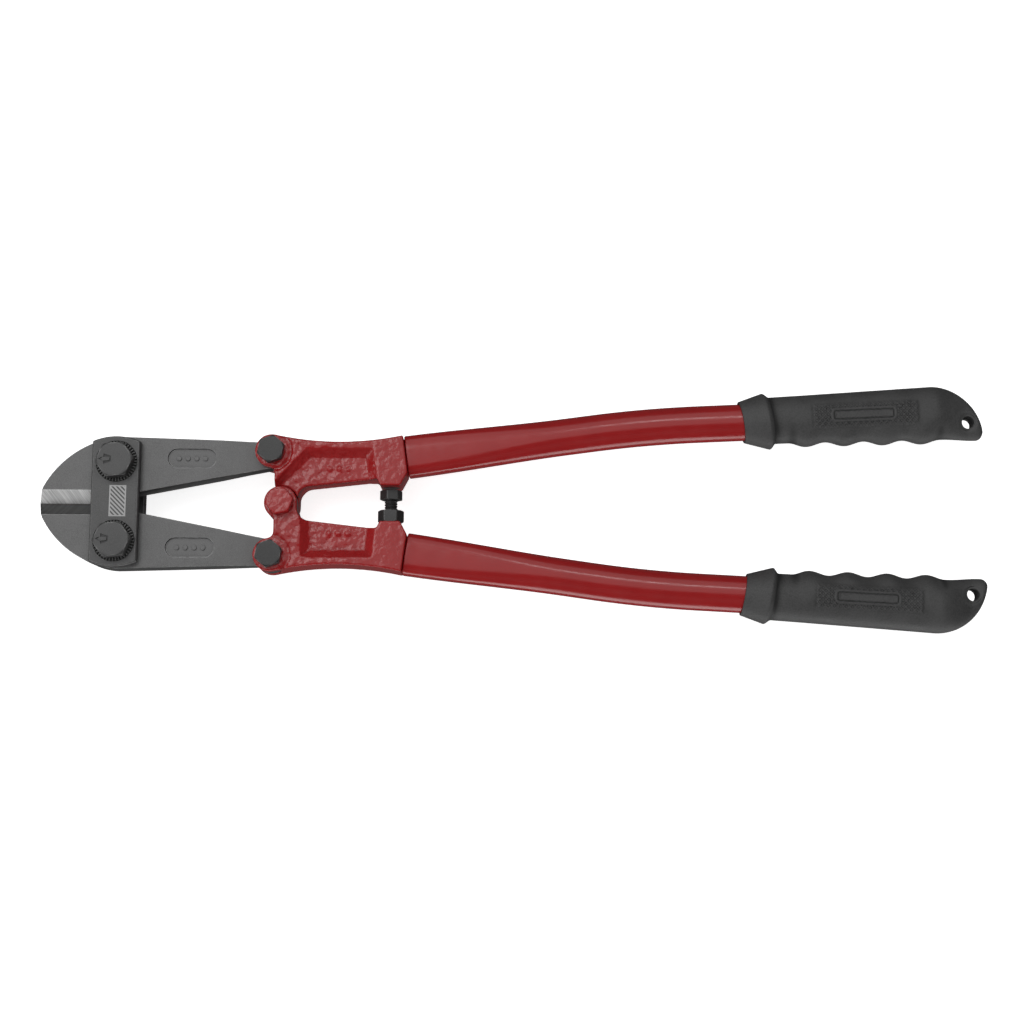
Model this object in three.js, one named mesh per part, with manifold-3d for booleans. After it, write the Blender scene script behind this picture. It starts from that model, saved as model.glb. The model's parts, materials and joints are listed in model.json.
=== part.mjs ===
// Bolt cutters of the 18 inch class. Two forged jaws turn on eccentric bolts between two cover plates,
// and their tails are pinned in two cast handle heads that turn on one central pivot.
// Units are millimetres. The central pivot stands on x 0, y 0 along Z.
// The blades point to -X and the grips to +X.
// Each upper piece lies at +Y. Its lower twin is the same piece turned half round about the X axis.
import * as THREE from "three";
import { mergeVertices } from "three/addons/utils/BufferGeometryUtils.js";
import Module from "manifold-3d";

const wasm = await Module();
wasm.setup();

// Fits
const touchGap = 0.3; // between pieces that rest on each other
const boltClearance = 0.3; // radial, round a bolt that doesn't turn in its hole
const runningClearance = 0.1; // radial, round a bolt that the piece turns on

// Linkage: the places of the bolts
const armX = 4.7; // joint bolt behind the central pivot
const armY = 25.1; // joint bolt beside the central pivot
const jawLink = 73.9; // joint bolt to jaw bolt, along X
const jawBoltY = 19.15;

// A blade's reach is from the jaw bolt to its tip, and its root is where its edge ends, short of that bolt.
const blade = { reach: 38.1, tipHeight: 7.5, tipLean: 2.4, root: 7.4, bevel: 5.8, land: 0.2 };
const jaw = {
  thick: 12,
  backHeight: 32,
  backRadius: 46.3,
  edgeDrop: 2,
  rootHeight: 1.5, // half the gap between the jaws, behind the blades
  tailRadius: 7.6,
  tailThick: 9,
  taperStart: 25.3,
  taperLength: 14,
};
const freePivot = { travel: 3.4, clearance: 0.4 }; // the slot that lets the upper jaw ride over its bolt
const pill = { length: 23.2, width: 9.2, depth: 1.2, ahead: 35.3, y: 21.6 }; // shallow panel in each jaw face
const plate = { front: 11.75, back: 11.05, cornerY: 29, endRadius: 28, thick: 4.5, chamfer: 0.6 };
const head = { thick: 19.6, lugRadius: 7.9, earRadius: 8, slotClearance: 0.6 };
const neck = { left: 3.1, fillet: 3 };
const rim = { radius: 143, earAngle: 84, endY: 33, heelY: 15 }; // outer edge, and the two corners at the tube
const windowEdge = { slope: 6.5, startX: 13.4, startY: 8.3, radius: 5.5 };
const boss = { x: 52.3, face: 8.6, width: 9.6, toe: 1.6, boreDepth: 19 };
const pocket = { depth: 3.5, wall: 4, top: 22.5, corner: 13.6, end: 40.4, endLean: 1.8 };
const tube = { radius: 8.9, wall: 1.8, length: 252, startX: 59.6, startY: 23.6, slope: 7.9, endSlope: 2.8 };
const bend = { start: 91, length: 51 }; // where the tube's slope changes, from its front end
const flat = { spread: 1.3, press: 1.2, power: 3.2, length: 78 }; // the pressed front end of a tube
const spigot = { length: 26, clearance: 0.3 };
const grip = { overTube: 89, length: 116, outerRise: 0.026, innerRise: 0.02 };
const gripWall = { outer: 2.7, inner: 3.2, side: 2.7, lip: 1.1, collar: 4.7, toe: 4.8 }; // round the tube
const collar = { peakAt: 11.8, end: 15, bodyAt: 17, skew: 0.12 };
const finger = { height: 1, pitch: 18.6, first: 31, count: 4 };
const gripEnd = { radius: 24, toe: 3, depth: 5.6 };
const hangHole = { radius: 3, back: 7.2, inward: 5.4 };
const stopScrew = { radius: 3.2, across: 9.6, headHeight: 4.6, gap: 1.3, length: 20, turn: 12 };
const stopNut = { across: 11.1, nutHeight: 5.8, turn: 0 };
const jawBolt = { radius: 5, across: 16, headHeight: 6, nutHeight: 6, past: 1.1, turn: 6 };
const jointBolt = { radius: 4, across: 11.8, headHeight: 4.8, nutHeight: 4.8, past: 0.9, turn: 20 };
const pivotBolt = { radius: 4, across: 12, headHeight: 5, nutHeight: 4.8, past: 0.9, turn: 10 };

const round = 24; // sides of a bolt or hole
const jawBoltX = -(armX + jawLink);
const tipX = jawBoltX - blade.reach;
const bladeGap = touchGap / 2; // each blade's distance from the cutting line
const plateInner = jaw.thick / 2 + touchGap;
const plateOuter = plateInner + plate.thick;
const headFace = head.thick / 2;
const gripStart = tube.length - grip.overTube;

const enamel = new THREE.MeshStandardMaterial({ color: 0x8f2a2c, roughness: 0.32, metalness: 0 });
const oxide = new THREE.MeshStandardMaterial({ color: 0x4a4a4b, roughness: 0.55, metalness: 0.7 });
const blackened = new THREE.MeshStandardMaterial({ color: 0x333436, roughness: 0.45, metalness: 0.8 });
const rubber = new THREE.MeshStandardMaterial({ color: 0x262728, roughness: 0.75, metalness: 0 });

// A closed three.js geometry as a manifold-3d solid.
function solidOf(geometry) {
  const bare = geometry.index ? geometry.toNonIndexed() : geometry;
  bare.deleteAttribute("normal");
  bare.deleteAttribute("uv");
  const merged = mergeVertices(bare, 1e-4);
  return new wasm.Manifold(
    new wasm.Mesh({
      numProp: 3,
      vertProperties: merged.attributes.position.array,
      triVerts: new Uint32Array(merged.index.array),
    }),
  );
}

function meshOf(name, solid, material) {
  const { vertProperties, triVerts } = solid.getMesh();
  const geometry = new THREE.BufferGeometry();
  geometry.setAttribute("position", new THREE.BufferAttribute(vertProperties, 3));
  geometry.setIndex(new THREE.BufferAttribute(triVerts, 1));
  geometry.computeVertexNormals();
  const mesh = new THREE.Mesh(geometry, material);
  mesh.name = name;
  return mesh;
}

// A shape pulled up from z = low to z = high, with its edges chamfered if asked.
function slab(shape, low, high, chamfer = 0) {
  const geometry = new THREE.ExtrudeGeometry(shape, {
    depth: high - low - 2 * chamfer,
    curveSegments: 16,
    bevelEnabled: chamfer > 0,
    bevelThickness: chamfer,
    bevelSize: chamfer,
    bevelOffset: -chamfer,
    bevelSegments: 1,
  });
  return solidOf(geometry.translate(0, 0, low + chamfer));
}

function cylinder(radius, low, high, x = 0, y = 0, sides = round) {
  const geometry = new THREE.CylinderGeometry(radius, radius, high - low, sides);
  return solidOf(geometry.rotateX(Math.PI / 2).translate(x, y, (low + high) / 2));
}

function polygon(points) {
  return new THREE.Shape(points.map(([x, y]) => new THREE.Vector2(x, y)));
}

// Continues a shape to (x, y) on an arc of the given radius, which bulges to the left of the way there
// when turn is 1 and to the right when it is -1.
function arcTo(shape, x, y, radius, turn) {
  const from = shape.currentPoint.clone();
  const to = new THREE.Vector2(x, y);
  const half = to.clone().sub(from).multiplyScalar(0.5);
  const reach = Math.sqrt(Math.max(radius ** 2 - half.lengthSq(), 0));
  const side = new THREE.Vector2(half.y, -half.x).setLength(reach * turn);
  const centre = from.clone().add(half).add(side);
  const start = Math.atan2(from.y - centre.y, from.x - centre.x);
  const end = Math.atan2(to.y - centre.y, to.x - centre.x);
  shape.absarc(centre.x, centre.y, radius, start, end, turn > 0);
}

// Turns a solid half round about the X axis, which makes the lower twin of an upper piece.
function flipped(solid) {
  return solid.rotate([180, 0, 0]);
}

// A hexagonal prism whose corners are turned off at the chosen ends, along +Z from z = 0.
function hexagon(across, height, turn, ends) {
  const corner = across / Math.sqrt(3);
  const trim = corner - across / 2;
  const prism = new THREE.CylinderGeometry(corner, corner, height, 6);
  prism.rotateX(Math.PI / 2).rotateZ(THREE.MathUtils.degToRad(turn + 30)).translate(0, 0, height / 2);
  const low = ends.includes("low") ? trim : 0;
  const high = ends.includes("high") ? trim : 0;
  const profile = [
    new THREE.Vector2(0, 0),
    new THREE.Vector2(corner + 0.01 - low, 0),
    new THREE.Vector2(corner + 0.01, low * 0.6),
    new THREE.Vector2(corner + 0.01, height - high * 0.6),
    new THREE.Vector2(corner + 0.01 - high, height),
    new THREE.Vector2(0, height),
  ];
  const turned = new THREE.LatheGeometry(profile, 24).rotateX(Math.PI / 2);
  return solidOf(prism).intersect(solidOf(turned));
}

// A bolt along Z whose head's underside is at z = top, and whose shank ends at z = end.
function bolt(size, top, end) {
  const shank = cylinder(size.radius, end, top + size.headHeight / 2);
  return shank.add(hexagon(size.across, size.headHeight, size.turn, ["high"]).translate([0, 0, top]));
}

function nut(size, shankRadius, low) {
  const blank = hexagon(size.across, size.nutHeight, size.turn, ["low"]).translate([0, 0, low]);
  return blank.subtract(cylinder(shankRadius + boltClearance, low - 1, low + size.nutHeight + 1));
}

function jawOutline() {
  const edgeAngle = Math.asin((jaw.backHeight - jaw.edgeDrop - armY) / jaw.tailRadius);
  const rootX = jawBoltX - blade.root;
  const tail = new THREE.Vector2(-armX - rootX, armY - jaw.rootHeight);
  const tangent = tail.angle() - Math.asin(jaw.tailRadius / tail.length()) - Math.PI / 2;
  const innerX = -armX + jaw.tailRadius * Math.cos(tangent);
  const innerY = armY + jaw.tailRadius * Math.sin(tangent);
  const shape = new THREE.Shape();
  shape.moveTo(tipX, bladeGap);
  shape.lineTo(rootX, bladeGap);
  shape.lineTo(rootX, jaw.rootHeight);
  shape.lineTo(innerX, innerY);
  shape.absarc(-armX, armY, jaw.tailRadius, tangent, Math.PI - edgeAngle, false);
  shape.lineTo(jawBoltX, jaw.backHeight);
  arcTo(shape, tipX + blade.tipLean, blade.tipHeight, jaw.backRadius, -1);
  return shape;
}

// The wedge that grinds one face of a blade down to its edge.
function bladeGrind() {
  const half = jaw.thick / 2;
  const section = polygon([
    [-1, blade.land],
    [bladeGap, blade.land],
    [bladeGap + blade.bevel, half],
    [bladeGap + blade.bevel, half + 1],
    [-1, half + 1],
  ]);
  const length = blade.reach - blade.root + 1;
  const wedge = new THREE.ExtrudeGeometry(section, { depth: length, bevelEnabled: false });
  wedge.rotateX(Math.PI / 2).rotateZ(Math.PI / 2);
  return solidOf(wedge.translate(tipX - 1, 0, 0));
}

// The wedge that thins one face of the jaw towards its tail.
function tailTaper() {
  const start = -armX - jaw.taperStart;
  const half = jaw.thick / 2;
  const section = polygon([
    [start, half],
    [start + jaw.taperLength, jaw.tailThick / 2],
    [jaw.tailRadius + 1, jaw.tailThick / 2],
    [jaw.tailRadius + 1, half + 1],
    [start, half + 1],
  ]);
  const wedge = new THREE.ExtrudeGeometry(section, { depth: 2 * armY, bevelEnabled: false });
  return solidOf(wedge.rotateX(Math.PI / 2).translate(0, 2 * armY, 0));
}

function stadium(length, width, x, y) {
  const reach = (length - width) / 2;
  const shape = new THREE.Shape();
  shape.absarc(x - reach, y, width / 2, Math.PI / 2, (3 * Math.PI) / 2, false);
  shape.absarc(x + reach, y, width / 2, -Math.PI / 2, Math.PI / 2, false);
  return shape;
}

function makeJaw(slotted) {
  const half = jaw.thick / 2;
  let body = slab(jawOutline(), -half, half);
  const faceCuts = bladeGrind()
    .add(tailTaper())
    .add(slab(stadium(pill.length, pill.width, jawBoltX + pill.ahead, pill.y), half - pill.depth, half + 1));
  body = body.subtract(faceCuts).subtract(faceCuts.mirror([0, 0, 1]));
  const travel = slotted ? freePivot.travel : 0;
  const hole = 2 * (jawBolt.radius + (slotted ? freePivot.clearance : runningClearance));
  const slot = stadium(travel + hole, hole, 0, 0);
  const cut = slab(slot, -half - 1, half + 1).rotate([0, 0, 90]);
  body = body.subtract(cut.translate([jawBoltX, jawBoltY - travel / 2, 0]));
  return body.subtract(cylinder(jointBolt.radius + runningClearance, -half, half, -armX, armY));
}

function makePlate() {
  const left = jawBoltX - plate.front;
  const right = jawBoltX + plate.back;
  const shape = new THREE.Shape();
  shape.moveTo(left, -plate.cornerY);
  arcTo(shape, right, -plate.cornerY, plate.endRadius, -1);
  shape.lineTo(right, plate.cornerY);
  arcTo(shape, left, plate.cornerY, plate.endRadius, -1);
  const holes = [-jawBoltY, jawBoltY].map((y) =>
    cylinder(jawBolt.radius + boltClearance, plateInner - 1, plateOuter + 1, jawBoltX, y),
  );
  return slab(shape, plateInner, plateOuter, plate.chamfer).subtract(holes[0]).subtract(holes[1]);
}

// The tube's centre line: straight, then a wide bend, then straight again. s is the way along it.
function pathAt(s) {
  const first = THREE.MathUtils.degToRad(tube.slope);
  const last = THREE.MathUtils.degToRad(tube.endSlope);
  const bent = Math.min(Math.max(s - bend.start, 0), bend.length);
  const radius = bend.length / (first - last);
  const angle = first - bent / radius;
  const before = Math.min(s, bend.start);
  const after = Math.max(s - bend.start - bend.length, 0);
  const x = before * Math.cos(first) + radius * (Math.sin(first) - Math.sin(angle)) + after * Math.cos(angle);
  const y = before * Math.sin(first) + radius * (Math.cos(angle) - Math.cos(first)) + after * Math.sin(angle);
  return { x: tube.startX + x, y: tube.startY + y, angle };
}

// A point beside the centre line: across is measured in the plane of the handle, up along Z.
function besidePath(s, across, up) {
  const { x, y, angle } = pathAt(s);
  return new THREE.Vector3(x - across * Math.sin(angle), y + across * Math.cos(angle), up);
}

// A closed solid swept along the centre line: ring turns a point of the unit circle into { s, across, up }.
function sweep(stations, ring, sides = 24) {
  const rows = stations.length - 1;
  const geometry = new THREE.CylinderGeometry(1, 1, 1, sides, rows);
  const position = geometry.attributes.position;
  for (let i = 0; i < position.count; i += 1) {
    const s = stations[Math.round((0.5 - position.getY(i)) * rows)];
    const at = ring(s, position.getX(i), position.getZ(i));
    const point = besidePath(at.s, at.across, at.up);
    position.setXYZ(i, point.x, point.y, point.z);
  }
  return solidOf(geometry);
}

function range(start, end, steps) {
  return Array.from({ length: steps + 1 }, (_, i) => start + ((end - start) * i) / steps);
}

// The tube's section, pressed flat at its front end and round from flat.length on, and inset by some depth.
function tubeRing(inset) {
  return (s, x, z) => {
    const t = THREE.MathUtils.smoothstep(s, 0, flat.length);
    const across = tube.radius + flat.spread * (1 - t) - inset;
    const up = tube.radius - flat.press * (1 - t) - inset;
    const power = 2 / THREE.MathUtils.lerp(flat.power, 2, t);
    const shaped = (v) => Math.sign(v) * Math.abs(v) ** power;
    return { s, across: across * shaped(x), up: up * shaped(z) };
  };
}

function makeTube() {
  const middle = [...range(0, flat.length, 5), ...range(bend.start, bend.start + bend.length, 4)];
  const outside = sweep([...middle, tube.length], tubeRing(0));
  const inside = sweep([-1, ...middle.slice(1), tube.length + 1], tubeRing(tube.wall));
  return outside.subtract(inside);
}

// Where the handle head ends, beside the tube's front face.
function headEndX(y) {
  return tube.startX - touchGap - (y - tube.startY) * Math.tan(THREE.MathUtils.degToRad(tube.slope));
}

// The outline of the upper handle head, seen from the front.
function headOutline() {
  const ear = { x: -armX, y: armY, radius: head.earRadius };
  const lug = head.lugRadius;
  const filletX = -neck.left - neck.fillet;
  const filletY = ear.y - Math.sqrt((ear.radius + neck.fillet) ** 2 - (filletX - ear.x) ** 2);
  const earFoot = Math.atan2(filletY - ear.y, filletX - ear.x);
  const earTop = THREE.MathUtils.degToRad(rim.earAngle);
  const lean = Math.tan(THREE.MathUtils.degToRad(windowEdge.slope));
  const bossLeft = boss.x - boss.width / 2;
  const bossRight = boss.x + boss.width / 2;
  const windowEnd = bossLeft - boss.toe;
  const neckTop = Math.sqrt(lug ** 2 - neck.left ** 2);
  const shape = new THREE.Shape();
  shape.moveTo(lug, 0);
  shape.lineTo(lug, windowEdge.startY - windowEdge.radius);
  arcTo(shape, windowEdge.startX, windowEdge.startY, windowEdge.radius, 1);
  shape.lineTo(windowEnd, windowEdge.startY + (windowEnd - windowEdge.startX) * lean);
  shape.lineTo(bossLeft, boss.face);
  shape.lineTo(bossRight, boss.face);
  shape.lineTo(headEndX(rim.heelY), rim.heelY);
  shape.lineTo(headEndX(rim.endY), rim.endY);
  arcTo(shape, ear.x + ear.radius * Math.cos(earTop), ear.y + ear.radius * Math.sin(earTop), rim.radius, 1);
  shape.absarc(ear.x, ear.y, ear.radius, earTop, earFoot, false);
  shape.absarc(filletX, filletY, neck.fillet, earFoot - Math.PI, 0, true);
  shape.lineTo(-neck.left, neckTop);
  shape.absarc(0, 0, lug, Math.atan2(neckTop, -neck.left), 0, false);
  return shape;
}

// A cutter for a pocket in the front face, with sloping walls; floor is the outline of its flat bottom.
function pocketCutter(floor) {
  const geometry = new THREE.ExtrudeGeometry(floor, {
    depth: 1,
    bevelEnabled: true,
    bevelThickness: pocket.depth,
    bevelSize: pocket.wall,
    bevelSegments: 1,
  });
  return solidOf(geometry.translate(0, 0, headFace));
}

// The front pocket of an upper head follows the line from the lug to the ear and is open to the window.
function slantedPocket() {
  const reach = pocket.top + 2;
  return polygon([
    [pocket.corner - reach, pocket.top - reach],
    [pocket.end, -pocket.wall],
    [pocket.end + pocket.endLean, pocket.top / 2],
    [pocket.end, pocket.top],
    [pocket.corner, pocket.top],
  ]);
}

function straightPocket() {
  const low = windowEdge.startY - pocket.wall;
  return polygon([
    [pocket.corner, low],
    [pocket.end + pocket.endLean, low],
    [pocket.end, pocket.top],
    [pocket.corner, pocket.top],
  ]);
}

// The head of the upper handle: a clevis for the jaw tail, half of the central lap joint, and a tube spigot.
function makeHead() {
  const slotHalf = jaw.tailThick / 2 + touchGap;
  const slotRadius = jaw.tailRadius + head.slotClearance;
  const lap = cylinder(head.lugRadius + touchGap, -bladeGap, headFace + 1);
  const tongue = sweep(range(-head.earRadius, spigot.length, 4), tubeRing(tube.wall + spigot.clearance));
  return slab(headOutline(), -headFace, headFace)
    .subtract(pocketCutter(slantedPocket()))
    .subtract(pocketCutter(straightPocket()).mirror([0, 0, 1]))
    .subtract(lap)
    .subtract(cylinder(slotRadius, -slotHalf, slotHalf, -armX, armY))
    .subtract(cylinder(jointBolt.radius + boltClearance, -headFace - 1, headFace + 1, -armX, armY))
    .subtract(cylinder(pivotBolt.radius + runningClearance, -headFace - 1, headFace + 1))
    .add(tongue);
}

// The tapped hole for the stop screw, in the boss of the lower head.
function screwBore() {
  return cylinder(stopScrew.radius + boltClearance, 0, boss.boreDepth + 1)
    .rotate([90, 0, 0])
    .translate([boss.x, -boss.face + 1, 0]);
}

function makeStopScrew() {
  const top = boss.face - stopScrew.gap;
  return bolt(stopScrew, 0, -stopScrew.length)
    .rotate([-90, 0, 0])
    .translate([boss.x, top - stopScrew.headHeight, 0]);
}

function makeStopNut() {
  return nut(stopNut, stopScrew.radius, 0)
    .rotate([-90, 0, 0])
    .translate([boss.x, touchGap - boss.face, 0]);
}

// The grip's outer edge, inner edge and half thickness, u along it from its front lip.
function gripOuter(u) {
  const endStart = grip.length - gripEnd.radius;
  const edge = tube.radius + gripWall.outer + grip.outerRise * (Math.min(u, endStart) - collar.bodyAt);
  const beyond = Math.max(u - endStart, 0);
  return edge - gripEnd.radius + Math.sqrt(Math.max(gripEnd.radius ** 2 - beyond ** 2, 0));
}

function gripInner(u) {
  const low = finger.first - finger.pitch / 2;
  const high = low + finger.pitch * finger.count;
  const within = Math.min(Math.max(u, low), high);
  const wave = Math.cos((2 * Math.PI * (within - finger.first)) / finger.pitch);
  const rising = grip.innerRise * (within - finger.first);
  const edge = tube.radius + gripWall.inner + rising + finger.height * wave;
  const toeStart = grip.length - gripEnd.toe;
  const rise = THREE.MathUtils.smoothstep(u, high, toeStart);
  const beyond = Math.max(u - toeStart, 0);
  const round = gripEnd.toe - Math.sqrt(Math.max(gripEnd.toe ** 2 - beyond ** 2, 0));
  return THREE.MathUtils.lerp(edge, tube.radius + gripWall.toe, rise) - round;
}

function gripDepth(u) {
  const t = THREE.MathUtils.smoothstep(u, grip.length - gripEnd.radius, grip.length - hangHole.back);
  return THREE.MathUtils.lerp(tube.radius + gripWall.side, gripEnd.depth, t);
}

// The collar widens from its lip to a peak and then steps down to the body.
function collarEdge(u, body) {
  const lip = tube.radius + gripWall.lip;
  const peak = tube.radius + gripWall.collar;
  if (u <= collar.peakAt) return THREE.MathUtils.mapLinear(u, 0, collar.peakAt, lip, peak);
  return THREE.MathUtils.lerp(peak, body, THREE.MathUtils.smoothstep(u, collar.peakAt, collar.end));
}

function gripRing(s, x, z) {
  const u = s - gripStart;
  const outer = collarEdge(u, gripOuter(u));
  const inner = collarEdge(u, gripInner(u));
  const across = (outer - inner) / 2 + ((outer + inner) / 2) * x;
  const skew = collar.skew * (1 - THREE.MathUtils.smoothstep(u, collar.end, finger.first));
  return { s: s - skew * across, across, up: collarEdge(u, gripDepth(u)) * z };
}

function makeGrip() {
  const endStart = grip.length - gripEnd.radius;
  const curl = range(0, Math.PI / 2 - 0.03, 7).map((a) => endStart + gripEnd.radius * Math.sin(a));
  const steps = [0, collar.peakAt, (collar.peakAt + collar.end) / 2, collar.end, collar.bodyAt];
  const stations = [...steps, ...range(finger.first - finger.pitch / 2, endStart, 16).slice(0, -1), ...curl];
  const outside = sweep(stations.map((u) => gripStart + u), gripRing);
  const depth = [gripStart - 2 * collar.skew * (tube.radius + gripWall.collar), tube.length + touchGap];
  const bore = sweep(depth, (s, x, z) => ({
    s,
    across: (tube.radius + touchGap) * x,
    up: (tube.radius + touchGap) * z,
  }));
  const at = besidePath(gripStart + grip.length - hangHole.back, -hangHole.inward, 0);
  const hole = cylinder(hangHole.radius, -tube.radius, tube.radius, at.x, at.y);
  return outside.subtract(bore).subtract(hole);
}

// A bolt through z = -face to face with its head in front, and its nut behind.
function fasten(name, size, face, x, y, material, parent) {
  const top = face + touchGap;
  const end = -top - size.nutHeight - size.past;
  parent.add(meshOf(name.replace("*", "bolt"), bolt(size, top, end).translate([x, y, 0]), material));
  const back = nut(size, size.radius, -top - size.nutHeight).translate([x, y, 0]);
  parent.add(meshOf(name.replace("*", "nut"), back, blackened));
}

const tool = new THREE.Group();

const upperJaw = makeJaw(true);
const lowerJaw = flipped(makeJaw(false));
tool.add(meshOf("jaw_upper", upperJaw, oxide));
tool.add(meshOf("jaw_lower", lowerJaw, oxide));

const frontPlate = makePlate();
tool.add(meshOf("cover_plate_front", frontPlate, oxide));
tool.add(meshOf("cover_plate_rear", flipped(frontPlate), oxide));

const upperHead = makeHead();
tool.add(meshOf("handle_head_upper", upperHead, enamel));
tool.add(meshOf("handle_head_lower", flipped(upperHead).subtract(screwBore()), enamel));

const upperTube = makeTube();
tool.add(meshOf("tube_upper", upperTube, enamel));
tool.add(meshOf("tube_lower", flipped(upperTube), enamel));

const upperGrip = makeGrip();
tool.add(meshOf("grip_upper", upperGrip, rubber));
tool.add(meshOf("grip_lower", flipped(upperGrip), rubber));

fasten("jaw_*_upper", jawBolt, plateOuter, jawBoltX, jawBoltY, blackened, tool);
fasten("jaw_*_lower", jawBolt, plateOuter, jawBoltX, -jawBoltY, blackened, tool);
fasten("joint_*_upper", jointBolt, headFace, -armX, armY, blackened, tool);
fasten("joint_*_lower", jointBolt, headFace, -armX, -armY, blackened, tool);
fasten("pivot_*", pivotBolt, headFace, 0, 0, enamel, tool);

tool.add(meshOf("stop_screw", makeStopScrew(), blackened));
tool.add(meshOf("stop_lock_nut", makeStopNut(), blackened));

// The part's origin is the middle of its box, on the surface that it lies on.
const box = new THREE.Box3().setFromObject(tool);
const middle = box.getCenter(new THREE.Vector3());
tool.position.set(-middle.x, -middle.y, -box.min.z);

const boltCutters = new THREE.Group();
boltCutters.add(tool);

export default boltCutters;
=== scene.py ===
# Bolt cutters of the 18 inch class: forged jaws between cover plates, cast handle heads,
# enamelled steel tubes and moulded rubber grips.
# Shapes are worked in millimetres from the central pivot, with the blades at -X and the front at +Z.
# The lower handle and the lower jaw are the upper ones turned half round about X.
import json
import math

import bmesh
import bpy
from mathutils import Matrix, Vector, noise


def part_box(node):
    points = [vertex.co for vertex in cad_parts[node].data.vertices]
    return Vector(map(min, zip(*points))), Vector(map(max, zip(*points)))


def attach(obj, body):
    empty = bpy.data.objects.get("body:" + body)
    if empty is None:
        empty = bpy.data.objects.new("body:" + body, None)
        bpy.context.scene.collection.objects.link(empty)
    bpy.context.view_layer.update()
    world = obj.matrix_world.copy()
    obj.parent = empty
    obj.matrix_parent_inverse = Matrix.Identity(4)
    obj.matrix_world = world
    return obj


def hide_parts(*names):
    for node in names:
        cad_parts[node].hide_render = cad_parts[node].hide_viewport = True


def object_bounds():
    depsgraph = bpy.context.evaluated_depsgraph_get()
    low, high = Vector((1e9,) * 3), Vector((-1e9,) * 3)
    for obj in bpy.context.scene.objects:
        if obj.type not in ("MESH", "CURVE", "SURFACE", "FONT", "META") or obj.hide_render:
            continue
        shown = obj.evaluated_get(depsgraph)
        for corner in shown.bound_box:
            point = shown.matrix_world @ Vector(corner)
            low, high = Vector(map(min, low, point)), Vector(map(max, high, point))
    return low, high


mm = 0.001
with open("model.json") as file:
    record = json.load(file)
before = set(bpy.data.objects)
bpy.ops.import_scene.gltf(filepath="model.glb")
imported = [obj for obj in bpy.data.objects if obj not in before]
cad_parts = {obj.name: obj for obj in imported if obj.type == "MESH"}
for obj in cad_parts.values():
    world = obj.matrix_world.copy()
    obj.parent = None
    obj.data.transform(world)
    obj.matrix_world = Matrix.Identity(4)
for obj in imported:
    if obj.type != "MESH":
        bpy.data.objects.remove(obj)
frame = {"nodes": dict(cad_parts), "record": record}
cadLow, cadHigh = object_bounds()
scene = bpy.context.scene
bodyOf = {node: body for body, nodes in frame["record"]["behaviour"]["bodies"].items() for node in nodes}


def middleOf(node):
    low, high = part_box(node)
    return (low + high) / 2


pivot = middleOf("pivot_bolt")
pivot.z = middleOf("jaw_upper").z
toFrame = Matrix.Translation(pivot) @ Matrix.Scale(mm, 4)
toBench = toFrame.inverted()
halfTurn = Matrix.Rotation(math.pi, 4, "X")


def onBench(node):  # a node's lowest and highest corner, on the bench
    return [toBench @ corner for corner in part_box(node)]


def boltCentre(node):
    centre = toBench @ middleOf(node)
    return centre.x, centre.y


# camera, floor and light
viewpoint = {"distance": 900, "tilt": 8.67, "roll": 0.362, "aimY": -2.54, "lens": 65.64}
studio = {
    "floorSize": 6,
    "floorGrey": 0.86,
    "floorGlow": 0.82,
    "skyGrey": 0.07,
    "softbox": {"at": (-0.2, 0.5, 1.1), "size": (2.4, 1.9), "energy": 12.2},
    "leftStrip": {"at": (-1.15, -0.6, 0.45), "size": (1.3, 0.35), "energy": 4},
    "fillBox": {"at": (0.2, -1, 0.75), "size": (1.8, 0.6), "energy": 5, "mirrored": False},
    "bounce": {"at": (0.15, -1, -0.42), "size": (2.2, 0.5), "energy": 9},
    "spark": {"at": (-0.42, 0.32, 0.95), "size": (0.45, 0.45), "energy": 1.6},
    "tubeLight": {"at": (0.2, 0.6, 1.05), "size": (0.35, 0.12), "energy": 0.7},
}


def makeCamera():
    tilt = math.radians(viewpoint["tilt"])
    aim = Vector((0, viewpoint["aimY"] * mm, (cadHigh.z - cadLow.z) / 2))
    data = bpy.data.cameras.new("camera")
    data.lens = viewpoint["lens"]
    data.sensor_width = 36
    camera = bpy.data.objects.new("camera", data)
    scene.collection.objects.link(camera)
    back = Vector((0, -math.sin(tilt), math.cos(tilt))) * viewpoint["distance"] * mm
    roll = Matrix.Rotation(math.radians(viewpoint["roll"]), 4, "Z")
    camera.matrix_world = Matrix.Translation(aim + back) @ Matrix.Rotation(tilt, 4, "X") @ roll
    scene.camera = camera


def makeSoftbox(name, at, size, energy, mirrored=True):
    data = bpy.data.lights.new(name, "AREA")
    data.shape = "RECTANGLE"
    data.size, data.size_y = size
    data.energy = energy
    light = bpy.data.objects.new(name, data)
    scene.collection.objects.link(light)
    light.location = at
    light.visible_glossy = mirrored  # a light that only fills leaves no streak in the gloss
    light.rotation_euler = (-Vector(at)).to_track_quat("-Z", "Y").to_euler()


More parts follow.
